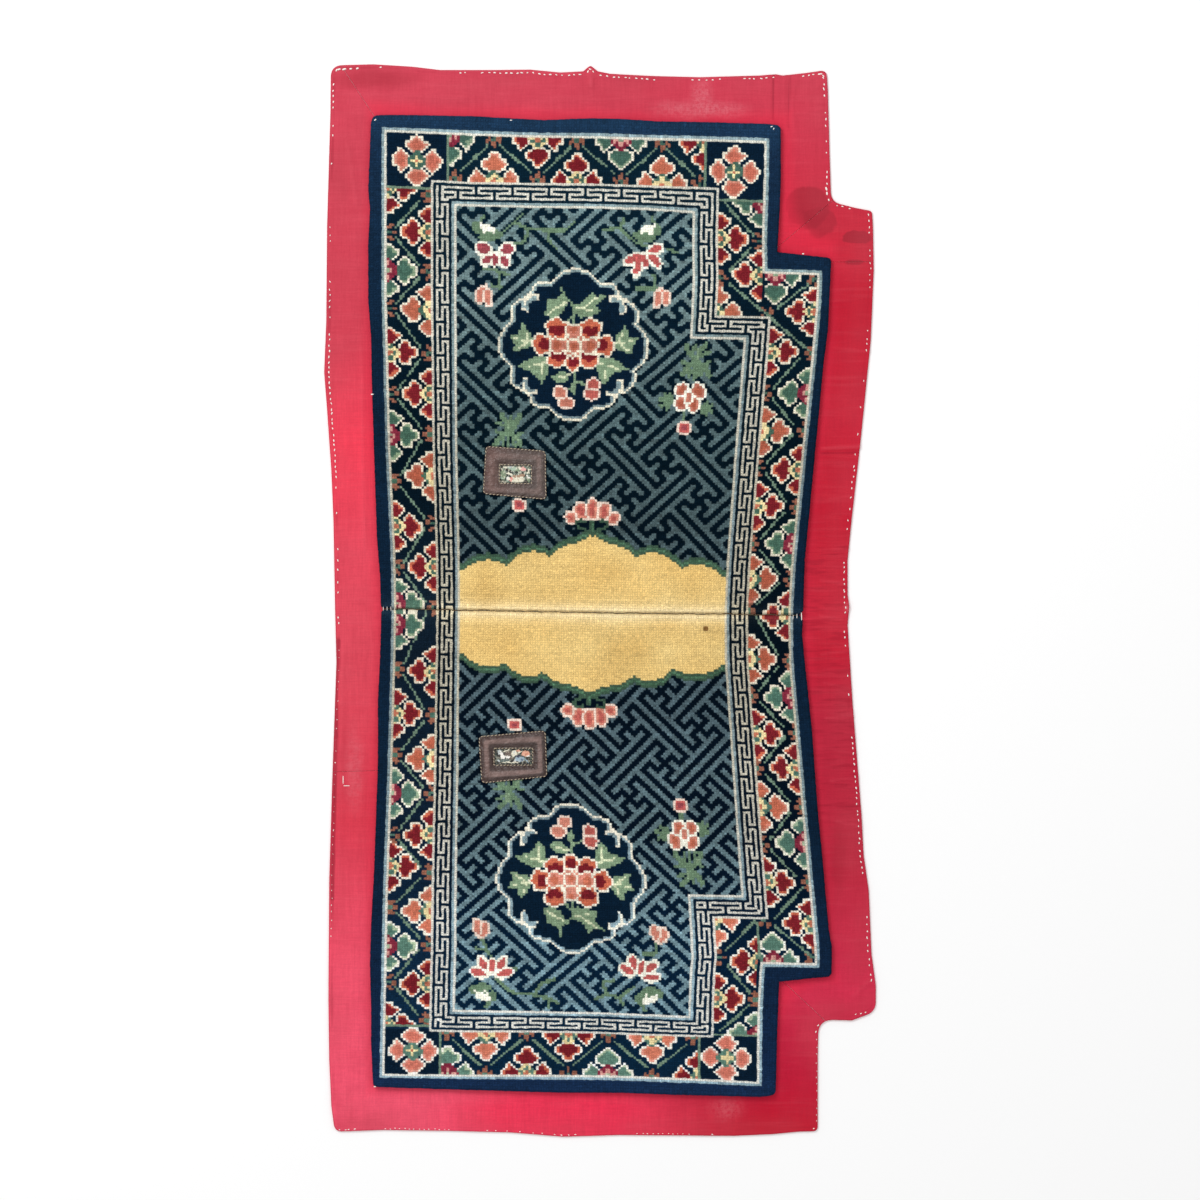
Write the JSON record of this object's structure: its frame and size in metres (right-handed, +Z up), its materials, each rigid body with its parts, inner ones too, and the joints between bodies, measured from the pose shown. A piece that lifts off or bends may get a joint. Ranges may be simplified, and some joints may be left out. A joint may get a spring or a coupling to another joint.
{
  "type": "tibetan saddle rug",
  "caption": "Flat knotted wool pile saddle rug woven in two halves, with notched corners, a sewn red cloth border and leather patches round two cloth-filled slots.",
  "frame": {"origin": "middle of the rug's plan, on the ground under it", "axes": "+Y along the rug's length towards its upper edge, +X towards the side with the corner cut-outs, +Z up out of the pile"},
  "size_m": [0.655, 1.2734, 0.0123],
  "materials": {
    "wool_pile": "dense knotted wool pile, patterned on a navy ground",
    "red_cloth": "faded matt cotton cloth",
    "leather": "worn brown leather",
    "printed_cotton": "small floral printed cotton"
  },
  "bodies": {
    "root": {"pile_upper": "wool_pile", "pile_lower": "wool_pile", "cloth_top": "red_cloth", "cloth_notch": "red_cloth", "cloth_right": "red_cloth", "cloth_bottom": "red_cloth", "cloth_left": "red_cloth", "leather_upper": "leather", "leather_lower": "leather", "slot_cloth_upper": "printed_cotton", "slot_cloth_lower": "printed_cotton"}
  },
  "joints": []
}
